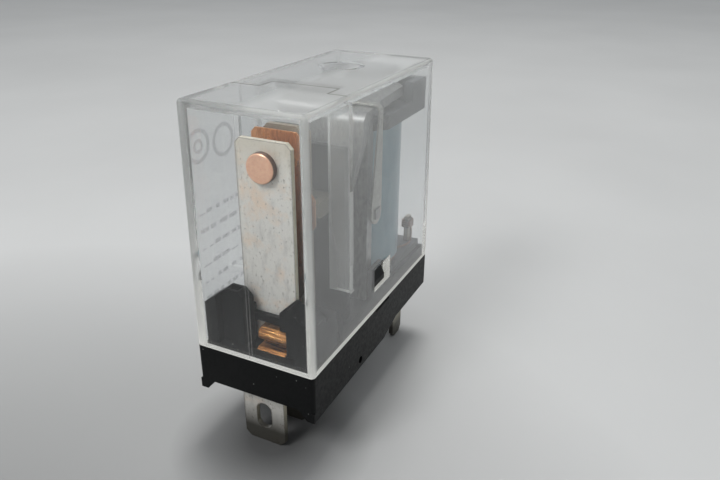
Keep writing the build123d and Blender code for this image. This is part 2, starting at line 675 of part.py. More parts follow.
PIECES = {
    "case": case(),
    "base": base(),
    "front_contact_plate": front_contact_plate(),
    "front_blade": front_blade(),
    "front_link": front_link(),
    "front_contact": front_contact(),
    "front_contact_tip": front_contact_tip(),
    "common_terminal": common_terminal(),
    "moving_spring": moving_spring(),
    "moving_contact": moving_contact(),
    "moving_contact_tips": moving_contact_tips(),
    "rear_contact_terminal": rear_contact_terminal(),
    "rear_contact": rear_contact(),
    "rear_contact_tip": rear_contact_tip(),
    "pusher_card": pusher_card(),
    "armature": armature(),
    "hinge_spring": hinge_spring(),
    "yoke": yoke(),
    "core": core(),
    "bobbin": bobbin(),
    "winding": winding(),
    "coil_tape": coil_tape(),
    "coil_terminal_left": coil_terminal(1),
    "coil_terminal_right": coil_terminal(-1),
    "coil_lead_left": coil_lead(1),
    "coil_lead_right": coil_lead(-1),
}

os.makedirs("parts", exist_ok=True)
for name, shape in PIECES.items():
    export_step(Pos(0, 0, BLADE_LENGTH) * shape, f"parts/{name}.step")

print("card travel, mm:", round(CARD_TRAVEL, 4))
print("card metres per armature radian:", round(CARD_TRAVEL / 1000 / SWING, 6))
print("spring swing, degrees:", round(math.degrees(SPRING_SWING), 3))
print("spring radians per armature radian:", round(SPRING_SWING / SWING, 5))
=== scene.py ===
"""Looks for a slim plug-in relay: clear case, black base, tinned contacts, taped coil.

Every length here is in millimetres in the row frame and is turned into metres as it is used.
"""

import json
import math
import random

import bpy
from mathutils import Matrix, Vector


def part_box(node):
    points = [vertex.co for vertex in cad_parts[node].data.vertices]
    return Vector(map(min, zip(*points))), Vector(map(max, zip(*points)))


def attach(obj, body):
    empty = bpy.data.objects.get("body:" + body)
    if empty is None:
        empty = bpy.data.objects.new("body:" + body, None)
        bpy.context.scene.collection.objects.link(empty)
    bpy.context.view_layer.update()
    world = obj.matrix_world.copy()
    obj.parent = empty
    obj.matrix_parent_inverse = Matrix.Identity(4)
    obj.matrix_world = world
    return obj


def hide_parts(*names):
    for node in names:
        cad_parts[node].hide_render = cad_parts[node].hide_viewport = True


MM = 0.001

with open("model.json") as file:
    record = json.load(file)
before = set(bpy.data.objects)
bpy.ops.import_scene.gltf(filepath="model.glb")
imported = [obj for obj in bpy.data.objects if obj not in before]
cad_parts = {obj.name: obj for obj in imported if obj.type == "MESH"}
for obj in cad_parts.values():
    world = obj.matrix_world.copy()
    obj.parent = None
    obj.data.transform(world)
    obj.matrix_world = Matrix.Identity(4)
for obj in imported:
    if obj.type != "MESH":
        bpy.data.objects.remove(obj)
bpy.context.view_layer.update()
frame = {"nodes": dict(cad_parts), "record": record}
nodes = frame["nodes"]


def span(node):
    """Lowest and highest corner of a CAD node, in millimetres."""
    low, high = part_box(node)
    return low / MM, high / MM


# ---- camera ----

CAMERA_AT = (-56.29, -30.89, 47.33)
CAMERA_AIM = (8.697, 0.0, 13.428)
CAMERA_ROLL = 0.554          # degrees anticlockwise
CAMERA_LENS = 32.83


def make_camera():
    """The camera, at the angle that the object is seen from."""
    data = bpy.data.cameras.new("camera")
    data.lens = CAMERA_LENS
    data.sensor_width = 36
    data.clip_start = 0.001
    data.clip_end = 20
    camera = bpy.data.objects.new("camera", data)
    place, aim = Vector(CAMERA_AT) * MM, Vector(CAMERA_AIM) * MM
    camera.location = place
    look = (aim - place).to_track_quat("-Z", "Y").to_matrix()
    roll = Vector((0, 0, 1))
    turned = look @ Matrix.Rotation(math.radians(CAMERA_ROLL), 3, roll)
    camera.rotation_euler = turned.to_euler()
    bpy.context.scene.collection.objects.link(camera)
    bpy.context.scene.camera = camera


# ---- the part's measures that the looks follow ----

low_case, high_case = span("case")
CASE_Z = (low_case[2], high_case[2])
CASE_HALF_X, CASE_HALF_Y = high_case[0], high_case[1]
CASE_DRAFT = 0.27
MOULD_LINE_Y = 0.35
RIM_HEIGHT = 0.12            # the walls' lowest stretch, which carries a painted glow for light guided down the walls
RIB_MIDDLE_X = -5.95
RIB_REACH_Y = 3.3            # the side ribs' inner ends
RIB_ROOT_Y = 5.5
RIB_FOOT_Z = 15.3
ROOF_RIB_Z = (32.37, 33.87)
ROOF_RIB_X = (-6.3, -3.0)    # the roof rib with the jogs that join it to the side ribs
ROOF_RIB_HALF = RIB_REACH_Y + 0.6
WINDOW_X, WINDOW_Z = (-1.25, 2.8), (12.9, 15.55)
ROOF_LINE_Y = (-0.75, 3.45)    # middle and half-width of the thin dark line on the roof
ROOF_LINE_X = (-6.9, -4.7)
ROOF_LINE_WIDTH = 0.15
STAIN_AT = (-10.65, 1.3, 25.7)    # middle of the warm stain under the front contact
STAIN_REACH = 2.7
SPOOL_R = 2.7
WIRE = 0.22                  # the winding's wire, across
TAPE, TAPE_DEPTH = 0.07, 0.16     # one layer of film, and all that is drawn of the wrap
TAPE_END = 238               # where the tape's outer end lies round the coil, degrees
POST_X, POST_Y = 12.4, 4.0   # middles of the coil posts
LEAD_R = 0.11
LEAD_PITCH = 0.25
LEAD_TURNS = 4
RINGS = (                    # middle x and z of each printed ring, inner and outer radius
    (-11.9, 30.1, 1.2, 1.6),
    (-11.9, 30.1, 0.35, 0.65),
    (-8.3, 29.8, 1.2, 1.6),
)
ROWS, ROW_PITCH = 6, 1.75    # rows of printed dashes
ROW_X, ROW_TOP_Z = (-12.6, -6.9), 23.6


# ---- materials ----

class Surface:
    """A material's node tree, with short calls for the nodes that the finishes share."""

    def __init__(self, name):
        self.material = bpy.data.materials.new(name)
        self.material.use_nodes = True
        self.tree = self.material.node_tree
        self.tree.nodes.clear()
        self.shader = self.add("BsdfPrincipled")
        self.output = self.add("OutputMaterial")
        self.link(self.shader.outputs[0], self.output.inputs[0])
        place = self.add("TexCoord")
        scaled = self.add("VectorMath", operation="SCALE")
        scaled.inputs["Scale"].default_value = 1 / MM
        self.link(place.outputs["Object"], scaled.inputs[0])
        self.place = scaled.outputs[0]

    def add(self, kind, **settings):
        node = self.tree.nodes.new("ShaderNode" + kind)
        for key, value in settings.items():
            setattr(node, key, value)
        return node

    def link(self, source, target):
        self.tree.links.new(source, target)

    def set(self, **values):
        """Sets the shader's constant sockets, named with underscores for spaces."""
        for key, value in values.items():
            socket = self.shader.inputs[key.replace("_", " ")]
            socket.default_value = (*value, 1) if isinstance(value, tuple) else value

    def drive(self, key, source):
        self.link(source, self.shader.inputs[key])

    def stretched(self, stretch):
        node = self.add("Mapping")
        node.inputs["Scale"].default_value = stretch
        self.link(self.place, node.inputs[0])
        return node.outputs[0]

    def noise(self, scale, detail=3.0, rough=0.5, stretch=(1, 1, 1), warp=0.0):
        node = self.add("TexNoise")
        node.inputs["Scale"].default_value = scale
        node.inputs["Detail"].default_value = detail
        node.inputs["Roughness"].default_value = rough
        node.inputs["Distortion"].default_value = warp
        self.link(self.stretched(stretch), node.inputs["Vector"])
        return node.outputs["Fac"]

    def cells(self, scale, stretch=(1, 1, 1)):
        node = self.add("TexVoronoi")
        node.inputs["Scale"].default_value = scale
        self.link(self.stretched(stretch), node.inputs["Vector"])
        return node.outputs["Distance"]

    def ramp(self, source, stops):
        node = self.add("ValToRGB")
        ends = node.color_ramp.elements
        for index, (place, colour) in enumerate(stops):
            end = ends[index] if index < 2 else ends.new(place)
            end.position = place
            end.color = (*colour, 1)
        self.link(source, node.inputs[0])
        return node.outputs[0]

    def level(self, source, low, high, start=0.3, end=0.7):
        """Low where the source is at the start or below, high at the end or above, even between."""
        node = self.add("MapRange")
        for key, value in (("From Min", start), ("From Max", end), ("To Min", low), ("To Max", high)):
            node.inputs[key].default_value = value
        self.link(source, node.inputs["Value"])
        return node.outputs[0]

    def blend(self, factor, first, second):
        node = self.add("Mix", data_type="RGBA")
        self.feed(factor, node.inputs[0])
        self.feed(first, node.inputs[6])
        self.feed(second, node.inputs[7])
        return node.outputs[2]

    def feed(self, value, socket):
        """Gives a socket a number, a colour or another node's output."""
        if isinstance(value, (int, float)):
            socket.default_value = value
        elif isinstance(value, tuple):
            socket.default_value = (*value, 1)
        else:
            self.link(value, socket)

    def math(self, operation, first, second=None):
        node = self.add("Math", operation=operation)
        self.feed(first, node.inputs[0])
        if second is not None:
            self.feed(second, node.inputs[1])
        return node.outputs[0]

    def sum(self, first, second):
        return self.math("ADD", first, second)

    def times(self, first, second):
        return self.math("MULTIPLY", first, second)

    def most(self, *values):
        """The largest of several values."""
        top = values[0]
        for value in values[1:]:
            top = self.math("MAXIMUM", top, value)
        return top

    def gap(self, first, second):
        """How far two values are apart."""
        return self.math("ABSOLUTE", self.math("SUBTRACT", first, second))

    def axis(self, name):
        """One coordinate in millimetres in the row frame."""
        node = self.add("SeparateXYZ")
        self.link(self.place, node.inputs[0])
        return node.outputs[name]

    def away(self, point):
        """Distance in millimetres from a point."""
        node = self.add("VectorMath", operation="DISTANCE")
        node.inputs[1].default_value = point
        self.link(self.place, node.inputs[0])
        return node.outputs["Value"]

    def facing(self, name):
        """How squarely a face looks along an axis, either way: 1 square on, 0 edge on."""
        flat = self.add("NewGeometry")
        node = self.add("SeparateXYZ")
        self.link(flat.outputs["True Normal"], node.inputs[0])
        return self.math("ABSOLUTE", node.outputs[name])

    def either(self, factor, first, second):
        node = self.add("MixShader")
        self.feed(factor, node.inputs[0])
        self.link(first, node.inputs[1])
        self.link(second, node.inputs[2])
        return node.outputs[0]

    def relief(self, height, depth, edge=0.0):
        """Bump of a depth in millimetres, over edges softened to a radius in millimetres."""
        bump = self.add("Bump")
        bump.inputs["Distance"].default_value = depth * MM
        self.link(height, bump.inputs["Height"])
        if edge:
            soft = self.add("Bevel", samples=6)
            soft.inputs["Radius"].default_value = edge * MM
            self.link(soft.outputs[0], bump.inputs["Normal"])
        self.drive("Normal", bump.outputs[0])


def near(s, distance, width, strength=1.0):
    """Strength at distance 0, fading to nothing at the width."""
    return s.level(distance, strength, 0.0, 0.0, width)


def inward(s, axis, half):
    """Distance in from the case's two faces across an axis, which lean in towards the top."""
    lean = s.level(s.axis("Z"), 0.0, CASE_DRAFT, *CASE_Z)
    return s.math("SUBTRACT", s.math("SUBTRACT", half, lean), s.math("ABSOLUTE", s.axis(axis)))


def off(s, axis, value):
    """Distance from a plane across an axis."""
    return s.gap(s.axis(axis), value)


def rib_haze_and_painted_veil(s):
    """The side ribs' ends, roots and feet, a little rough from the mould, and a thin milky veil that is
    a painted reflection.
    """
    size_y, height = s.math("ABSOLUTE", s.axis("Y")), s.axis("Z")
    end = near(s, s.gap(size_y, RIB_REACH_Y), 0.25, 0.45)
    root = near(s, s.gap(size_y, RIB_ROOT_Y), 0.12, 0.55)
    foot = near(s, off(s, "Z", RIB_FOOT_Z), 0.16, 0.8)
    # Painted reflection: a thin milky veil over the ribs, weaker high up.
    painted_veil = s.level(size_y, 0.36, 0.1, RIB_REACH_Y, RIB_ROOT_Y)
    painted_veil = s.times(painted_veil, s.level(height, 1.0, 0.35, 19, 30))
    across = s.level(off(s, "X", RIB_MIDDLE_X), 1.0, 0.0, 0.38, 0.42)
    inside = s.level(size_y, 1.0, 0.0, RIB_ROOT_Y + 0.1, RIB_ROOT_Y + 0.15)
    under_roof = s.level(height, 1.0, 0.0, 33.4, 33.6)
    return s.times(s.most(end, root, foot, painted_veil), s.times(s.times(across, inside), under_roof))


def between(s, axis, low, high):
    """1 between two places on an axis and 0 outside them."""
    half = (high - low) / 2
    return s.level(off(s, axis, low + half), 1.0, 0.0, half + 0.03, half + 0.05)


def thin_places(s):
    """The roof's rib and the windows' rims, where part of the light goes straight through."""
    rib = s.times(between(s, "Z", *ROOF_RIB_Z), between(s, "X", *ROOF_RIB_X))
    rib = s.times(rib, between(s, "Y", -ROOF_RIB_HALF, ROOF_RIB_HALF))
    rims = s.times(between(s, "Z", *WINDOW_Z), between(s, "X", *WINDOW_X))
    return s.most(s.times(rib, 0.55), s.times(rims, 0.85))


def dark_roof_line(s):
    """A thin dark line across the roof's top, with a jog on each side."""
    middle_y, half_y = ROOF_LINE_Y
    across = off(s, "Y", middle_y)
    outside = s.level(across, 0.0, 1.0, half_y - 0.02, half_y + 0.02)
    inside = s.math("SUBTRACT", 1, outside)
    sides = s.times(near(s, off(s, "X", ROOF_LINE_X[0]), ROOF_LINE_WIDTH), outside)
    middle = s.times(near(s, off(s, "X", ROOF_LINE_X[1]), ROOF_LINE_WIDTH), inside)
    jogs = s.times(near(s, s.gap(across, half_y), ROOF_LINE_WIDTH), between(s, "X", *ROOF_LINE_X))
    on_top = s.level(s.axis("Z"), 0.0, 1.0, CASE_Z[1] - 0.06, CASE_Z[1] - 0.03)
    return s.times(s.most(sides, middle, jogs), on_top)


def haze_and_painted_edge_light(s):
    """How milky the clear walls are: painted light along the corners, the roof's edges and the walls'
    foot for the light that clear edges gather and guide, a painted veil of reflection on the upper
    sides and the ribs, a faint haze on the roof's top, and the real parting line and dust.
    """
    in_x, in_y = inward(s, "X", CASE_HALF_X), inward(s, "Y", CASE_HALF_Y)
    height = s.axis("Z")
    below_top = s.math("SUBTRACT", CASE_Z[1], height)
    left = s.level(s.axis("Y"), 0.0, 1.0, -1, 1)
    # Painted light: milky bands along the vertical corners, wider on the left and stronger low down,
    # and along the roof's edges.
    across = s.most(near(s, in_y, 0.7, 1.2), s.times(left, near(s, in_y, 1.5, 1.35)))
    corners = s.math("MINIMUM", s.times(near(s, in_x, 0.85, 1.15), across), 1)
    corners = s.times(corners, s.level(height, 0.95, 0.62, *CASE_Z))
    roof_edges = s.times(s.most(near(s, in_x, 0.5), near(s, in_y, 0.5)), near(s, below_top, 0.6, 0.75))
    roof = near(s, below_top, 0.05, 0.34)
    # Painted light: milky at the walls' foot, where guided light comes out.
    rim = near(s, s.math("SUBTRACT", height, CASE_Z[0] + RIM_HEIGHT), 0.08)
    front = s.level(s.axis("X"), 1.0, 0.0, -13.6, -13.5)
    seam = s.times(front, near(s, off(s, "Y", MOULD_LINE_Y), 0.07, 0.3))
    dust = s.level(s.cells(0.75), 0.45, 0.0, 0.022, 0.045)
    # Painted reflection: a milky veil on the upper side walls.
    painted_side_veil = s.times(near(s, in_y, 1.0), s.level(height, 0.0, 0.16, 17, 29))
    return s.most(corners, roof_edges, roof, rim, rib_haze_and_painted_veil(s), seam, dust, painted_side_veil)


def frosted(s):
    """The haze's look, with light and shade painted in: paler low down as painted light, darker high on
    the left as painted shade, and a painted glow at the walls' foot.
    """
    height = s.axis("Z")
    # Painted light: paler low down. Painted shade: darker high on the left.
    painted_low_light = s.level(height, 1.0, 0.0, CASE_Z[0] + 1, CASE_Z[0] + 13)
    left = s.level(s.axis("Y"), 0.0, 1.0, -1, 1)
    upper_with_painted_shade = s.blend(left, (0.8, 0.81, 0.79), (0.54, 0.55, 0.54))
    frost = s.add("BsdfPrincipled")
    frost.inputs["Roughness"].default_value = 0.4
    s.feed(s.blend(painted_low_light, upper_with_painted_shade, (0.96, 0.96, 0.93)), frost.inputs["Base Color"])
    glow = s.add("BsdfTranslucent")
    s.feed(s.blend(painted_low_light, upper_with_painted_shade, (0.93, 0.93, 0.9)), glow.inputs["Color"])
    # An emission at the walls' foot: a painted glow for the light that the walls guide down.
    painted_rim_glow = s.add("Emission")
    s.feed((0.95, 0.95, 0.9), painted_rim_glow.inputs["Color"])
    s.feed(0.62, painted_rim_glow.inputs["Strength"])
    rim_top = CASE_Z[0] + RIM_HEIGHT
    rim = s.level(height, 0.6, 0.0, rim_top, rim_top + 0.1)
    return s.either(rim, s.either(0.45, frost.outputs[0], glow.outputs[0]), painted_rim_glow.outputs[0])


def clear_polycarbonate():
    """Clear moulding plastic; lamps shine through it, and its edges carry painted light."""
    s = Surface("clear_polycarbonate")
    s.set(Base_Color=(0.95, 0.958, 0.962), Transmission_Weight=1.0, IOR=1.54)
    rubs = s.noise(2.5, 6.0, 0.7, (1, 1, 0.3))
    s.drive("Roughness", s.level(rubs, 0.0, 0.035, 0.45, 0.75))
    bare = s.add("BsdfTransparent")
    s.feed((0.95, 0.955, 0.95), bare.inputs["Color"])
    shade = s.add("BsdfDiffuse")
    s.feed((0.12, 0.12, 0.11), shade.inputs["Color"])
    straight = s.either(thin_places(s), s.shader.outputs[0], bare.outputs[0])
    hazed = s.either(haze_and_painted_edge_light(s), straight, frosted(s))
    lined = s.either(dark_roof_line(s), hazed, shade.outputs[0])
    shadow_ray = s.add("LightPath").outputs["Is Shadow Ray"]
    s.link(s.either(shadow_ray, lined, bare.outputs[0]), s.output.inputs[0])
    return s.material


def black_plastic():
    """Filled black moulding plastic, a little glossy, with settled dust."""
    s = Surface("black_plastic")
    grain = s.ramp(s.noise(9.0, 4.0), [(0.3, (0.0035, 0.0038, 0.004)), (0.75, (0.0085, 0.009, 0.0095))])
    dust = s.level(s.cells(0.9), 1.0, 0.0, 0.035, 0.06)
    s.drive("Base Color", s.blend(dust, grain, (0.22, 0.22, 0.21)))
    s.drive("Roughness", s.level(s.noise(2.5, 5.0, 0.6), 0.34, 0.52))
    s.set(Specular_IOR_Level=0.12)
    s.relief(s.noise(28.0, 2.0), 0.005, edge=0.09)
    return s.material


def outline(s):
    """Dark rims along a stamped sheet's flat faces, next to their edges."""
    soft = s.add("Bevel", samples=6)
    soft.inputs["Radius"].default_value = 0.26 * MM
    flat = s.add("NewGeometry")
    agree = s.add("VectorMath", operation="DOT_PRODUCT")
    s.link(soft.outputs[0], agree.inputs[0])
    s.link(flat.outputs["True Normal"], agree.inputs[1])
    faces = s.level(s.facing("X"), 0.0, 1.0, 0.6, 0.9)
    return s.times(faces, s.level(agree.outputs["Value"], 0.9, 0.0, 0.84, 0.985))


def cut_edges(s):
    """The sheet's cut flanks, where brass-coloured metal shows beside the tin."""
    return s.level(s.facing("Y"), 0.0, 0.6, 0.6, 0.9)


def tinned(name, light, dark, warm):
    """Hot tin over copper: a pale satin grey with faint streaks, stains and small dark pits, and
    painted shade inside the case and towards the tips.
    """
    s = Surface(name)
    height = s.axis("Z")
    streaks = s.noise(1.3, 6.0, 0.6, (1, 1, 0.4), 0.3)
    colour = s.ramp(streaks, [(0.3, dark), (0.5, light), (0.8, light)])
    stain = s.sum(s.noise(0.5, 5.0, 0.65), near(s, s.away(STAIN_AT), STAIN_REACH, 0.3))
    colour = s.blend(s.level(stain, 0.0, 0.85, 0.5, 0.74), colour, warm)
    pits = s.noise(3.2, 6.0, 0.7, (1, 1, 0.75))
    colour = s.blend(s.level(pits, 0.75, 0.0, 0.34, 0.42), colour, (0.3, 0.27, 0.23))
    # Browner towards the top.
    browner_high_up = s.level(height, 0.0, 0.42, 27.4, 30.6)
    colour = s.blend(browner_high_up, colour, (0.56, 0.47, 0.31))
    colour = s.blend(outline(s), colour, (0.12, 0.105, 0.08))
    colour = s.blend(cut_edges(s), colour, (0.6, 0.54, 0.34))
    # Painted shade: parts further back than the front contact and above the base are darkened for the
    # shade inside the case.
    inner = s.times(s.level(s.axis("X"), 0.0, 0.8, -9.5, -8.5), s.level(height, 0.0, 1.0, 10, 11))
    colour = s.blend(inner, colour, (0.24, 0.2, 0.15))
    # Painted shade: near black towards the tips, for the contact shadow under the base.
    painted_tip_shade = s.level(height, 0.96, 0.0, 1.5, 5.0)
    s.drive("Base Color", s.blend(painted_tip_shade, colour, (0.045, 0.042, 0.033)))
    s.set(Metallic=0.35)
    s.drive("Roughness", s.level(s.sum(streaks, pits), 0.5, 0.3, 0.7, 1.3))
    s.relief(pits, 0.006, edge=0.09)
    return s.material


def metal(name, colour, shade, rough, stretch=(1, 1, 1)):
    """Bare metal with a fine grain, which shades its colour and roughness."""
    s = Surface(name)
    grain = s.noise(3.0, 6.0, 0.6, stretch)
    s.drive("Base Color", s.ramp(grain, [(0.3, shade), (0.62, colour)]))
    s.set(Metallic=1.0)
    s.drive("Roughness", s.level(grain, rough[1], rough[0]))
    s.relief(grain, 0.003, edge=0.05)
    return s.material


def contact_copper():
    """Pale copper rivet: its turned faces are bright, and its flank carries a painted dark reflection.
    """
    s = Surface("contact_copper")
    grain = s.noise(3.0, 6.0, 0.6)
    face = s.ramp(grain, [(0.3, (0.92, 0.5, 0.34)), (0.62, (1.0, 0.61, 0.41))])
    # Painted reflection: the flank is darkened for the dark things it reflects.
    painted_flank_shade = s.level(s.facing("X"), 0.95, 0.0, 0.2, 0.75)
    s.drive("Base Color", s.blend(painted_flank_shade, face, (0.07, 0.03, 0.02)))
    s.set(Metallic=0.6)
    s.drive("Roughness", s.level(grain, 0.4, 0.28))
    s.relief(grain, 0.003, edge=0.05)
    return s.material


def leaf_copper():
    """The moving spring's copper, with light and shade painted in: bright near the contact, darker
    towards its foot.
    """
    s = Surface("spring_copper")
    grain = s.noise(3.0, 6.0, 0.6, (1, 1, 0.2))
    bright = s.ramp(grain, [(0.3, (0.44, 0.17, 0.07)), (0.62, (0.85, 0.4, 0.18))])
    dark = s.ramp(grain, [(0.3, (0.09, 0.035, 0.02)), (0.62, (0.2, 0.08, 0.045))])
    # Painted light and shade: bright copper high up, darkening towards the foot.
    s.drive("Base Color", s.blend(s.level(s.axis("Z"), 0.0, 1.0, 15, 29.5), dark, bright))
    s.set(Metallic=0.9)
    s.drive("Roughness", s.level(grain, 0.42, 0.24))
    s.relief(grain, 0.004, edge=0.05)
    return s.material


def strands():
    """Bare copper drawn in fine wires that lie across the link, bright on top and brown between."""
    s = Surface("bare_copper")
    wires = s.noise(2.6, 5.0, 0.6, (1.6, 0.16, 2.6), 0.25)
    shades = [(0.36, (0.07, 0.026, 0.01)), (0.52, (0.4, 0.18, 0.06)), (0.68, (0.84, 0.49, 0.19))]
    s.drive("Base Color", s.ramp(wires, shades))
    s.set(Metallic=1.0)
    s.drive("Roughness", s.level(wires, 0.42, 0.2))
    s.relief(wires, 0.16, edge=0.06)
    return s.material


def plastic(name, colour, shade, rough):
    """Filled moulding plastic with a fine grain."""
    s = Surface(name)
    s.drive("Base Color", s.ramp(s.noise(2.2, 5.0), [(0.3, shade), (0.7, colour)]))
    s.drive("Roughness", s.level(s.noise(6.0, 4.0), *rough))
    s.relief(s.noise(24.0, 2.0), 0.006, edge=0.07)
    return s.material


def blue_tape():
    """Polyester coil tape: thin glossy film, dulled and faintly wrinkled along the coil."""
    s = Surface("blue_tape")
    film = s.noise(0.8, 4.0, 0.5, (1, 1, 0.4))
    s.drive("Base Color", s.ramp(film, [(0.3, (0.17, 0.33, 0.41)), (0.7, (0.26, 0.43, 0.5))]))
    s.set(Roughness=0.32, Coat_Weight=0.4, Coat_Roughness=0.1)
    s.relief(s.noise(1.1, 3.0, 0.5, (1, 1, 0.3)), 0.04)
    return s.material


def enamelled_wire():
    """Brown enamel over copper wire."""
    s = Surface("enamelled_wire")
    tone = s.noise(1.2, 4.0)
    s.drive("Base Color", s.ramp(tone, [(0.3, (0.13, 0.06, 0.035)), (0.7, (0.26, 0.14, 0.09))]))
    s.set(Metallic=0.6, Roughness=0.32, Coat_Weight=0.6, Coat_Roughness=0.1)
    return s.material


def solder():
    """Dull grey solder, uneven as it set."""
    s = Surface("solder")
    cast = s.noise(4.0, 5.0, 0.6)
    s.drive("Base Color", s.ramp(cast, [(0.35, (0.07, 0.07, 0.07)), (0.65, (0.2, 0.2, 0.2))]))
    s.set(Metallic=0.8)
    s.drive("Roughness", s.level(cast, 0.5, 0.3))
    s.relief(cast, 0.03)
    return s.material


def ink():
    """Thin grey print, worn through in places."""
    s = Surface("grey_ink")
    worn = s.noise(7.0, 4.0)
    s.drive("Base Color", s.ramp(worn, [(0.3, (0.34, 0.35, 0.35)), (0.7, (0.46, 0.47, 0.47))]))
    s.set(Roughness=0.6)
    s.drive("Alpha", s.level(worn, 0.15, 0.45))
    return s.material


def make_materials():
    """Every finish, under the name of its slot in the record."""
    return {
        "clear_polycarbonate": clear_polycarbonate(),
        "black_plastic": black_plastic(),
        "tin_plate": tinned("tin_plate", (0.83, 0.81, 0.76), (0.66, 0.64, 0.6), (0.88, 0.71, 0.56)),
        "bare_copper": strands(),
        "contact_copper": contact_copper(),
        "silver_alloy": metal("silver_alloy", (0.86, 0.85, 0.82), (0.6, 0.58, 0.55), (0.16, 0.3)),
        "spring_copper": leaf_copper(),
        "card_plastic": plastic("card_plastic", (0.2, 0.18, 0.13), (0.14, 0.125, 0.09), (0.35, 0.5)),
        "plated_iron": metal(
            "plated_iron", (0.46, 0.455, 0.45), (0.3, 0.3, 0.3), (0.36, 0.52), (1, 1, 0.4),
        ),
        "spring_steel": metal("spring_steel", (0.5, 0.49, 0.45), (0.36, 0.35, 0.32), (0.28, 0.42)),
        "bobbin_plastic": plastic(
            "bobbin_plastic", (0.065, 0.07, 0.078), (0.045, 0.048, 0.053), (0.3, 0.45),
        ),
        "enamelled_wire": enamelled_wire(),
        "blue_tape": blue_tape(),
        "solder": solder(),
        "grey_ink": ink(),
    }


def dress(materials):
    """Gives every CAD node the finish that the record names for it."""
    for entry in frame["record"]["subparts"]:
        mesh = nodes[entry["node"]].data
        mesh.materials.clear()
        mesh.materials.append(materials[entry["material_slot"]])


# ---- pieces made here ----

def add_mesh(name, points, faces, material, smooth=True):
    """A mesh object from points in millimetres."""
    mesh = bpy.data.meshes.new(name)
    mesh.from_pydata([Vector(p) * MM for p in points], [], faces)
    mesh.update()
    mesh.materials.append(material)
    if smooth:
        mesh.shade_smooth()
    piece = bpy.data.objects.new(name, mesh)
    bpy.context.scene.collection.objects.link(piece)
    return piece


def loops(rings, closed_ends=True):
    """Faces that join equal rings of points, with the first and last filled in."""
    count = len(rings[0])
    faces = []
    for row in range(len(rings) - 1):
        for step in range(count):
            after = (step + 1) % count
            low, high = row * count, (row + 1) * count
            faces.append((low + step, low + after, high + after, high + step))
    if closed_ends:
        faces.append(tuple(range(count - 1, -1, -1)))
        last = (len(rings) - 1) * count
        faces.append(tuple(last + step for step in range(count)))
    return [point for ring in rings for point in ring], faces


def around(centre, radius, angle, height):
    """A point at an angle in radians about a vertical line."""
    return (centre[0] + radius * math.cos(angle), centre[1] + radius * math.sin(angle), height)


def turned(centre, profile, segments):
    """Rings of points from a profile of (radius, height) turned about a vertical line."""
    angles = [2 * math.pi * step / segments for step in range(segments)]
    return [[around(centre, radius, angle, height) for angle in angles] for radius, height in profile]


def join_housing(piece, replaced):
    """Says that a piece made here rides on the housing in place of a CAD node."""
    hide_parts(replaced)
    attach(piece, "housing")


def make_winding(material):
    """The coil's outer layer of round wire, turn on turn."""
    low, high = span("winding")
    centre = (low + high) / 2
    outer = (high[0] - low[0]) / 2
    turns = int((high[2] - low[2]) / WIRE)
    pitch = (high[2] - low[2]) / turns
    steps = 5                # points on each turn's half circle
    profile = [(SPOOL_R, low[2])]
    for turn in range(turns):
        for step in range(steps):
            angle = math.pi * (step + 0.5) / steps
            height = low[2] + pitch * (turn + 0.5 - 0.5 * math.cos(angle))
            profile.append((outer - pitch / 2 * (1 - math.sin(angle)), height))
    profile.append((SPOOL_R, high[2]))
    points, faces = loops(turned(centre, profile, 48))
    coil = add_mesh("winding_turns", points, faces, material)
    join_housing(coil, "winding")


def make_tape(material):
    """Coil tape wound so that its outer end makes a step down the coil."""
    low, high = span("coil_tape")
    centre = (low + high) / 2
    outer = (high[0] - low[0]) / 2
    segments = 120
    turns = [step / (segments - 1) for step in range(segments)]

    def ring(depth, growth, height):
        points = []
        for turn in turns:
            angle = math.radians(TAPE_END) + 2 * math.pi * turn
            points.append(around(centre, outer - depth + growth * turn, angle, height))
        return points

    rings = [
        ring(TAPE_DEPTH, 0, low[2]),
        ring(TAPE, TAPE, low[2]),
        ring(TAPE, TAPE, high[2]),
        ring(TAPE_DEPTH, 0, high[2]),
    ]
    points, faces = loops(rings + rings[:1], closed_ends=False)
    count = len(rings) * segments
    faces = [tuple(index % count for index in face) for face in faces]
    tape = add_mesh("coil_tape_lap", points[:count], faces, material, smooth=False)
    join_housing(tape, "coil_tape")


def lead_route(side, low, base_z):
    """Points of a lead, from under the coil along the base and then round its post."""
    route = [
        (low[0] + 0.1, side * 4.05, low[2] + LEAD_R),
        (low[0] + 1.5, side * 4.95, low[2] + LEAD_R),
        (11.5, side * 4.85, low[2] + 0.4),
        (12.1, side * 4.62, base_z),
    ]
    half = ((0, 0.42), (0.74, 0.5), (0.64, 0), (0.74, -0.5))
    corners = half + tuple((-x, -y) for x, y in half)
    for index in range(len(corners) * LEAD_TURNS - 1):
        x, y = corners[index % len(corners)]
        height = base_z + LEAD_R + index / len(corners) * LEAD_PITCH
        route.append((POST_X + x, side * (POST_Y + y), height))
    return route


def make_wire(name, route, material):
    """A lead drawn as round wire along its route."""
    curve = bpy.data.curves.new(name + "_wire", "CURVE")
    curve.dimensions = "3D"
    curve.bevel_depth = LEAD_R * MM
    curve.bevel_resolution = 3
    curve.resolution_u = 6
    curve.use_fill_caps = True
    line = curve.splines.new("NURBS")
    line.points.add(len(route) - 1)
    for point, place in zip(line.points, route):
        point.co = (*(Vector(place) * MM), 1)
    line.order_u = 3
    line.use_endpoint_u = True
    drawn = bpy.data.objects.new(name + "_curve", curve)
    bpy.context.scene.collection.objects.link(drawn)
    mesh = bpy.data.meshes.new_from_object(drawn.evaluated_get(bpy.context.evaluated_depsgraph_get()))
    bpy.data.objects.remove(drawn)
    mesh.materials.clear()
    mesh.materials.append(material)
    mesh.shade_smooth()
    wire = bpy.data.objects.new(name + "_wire", mesh)
    bpy.context.scene.collection.objects.link(wire)
    join_housing(wire, name)


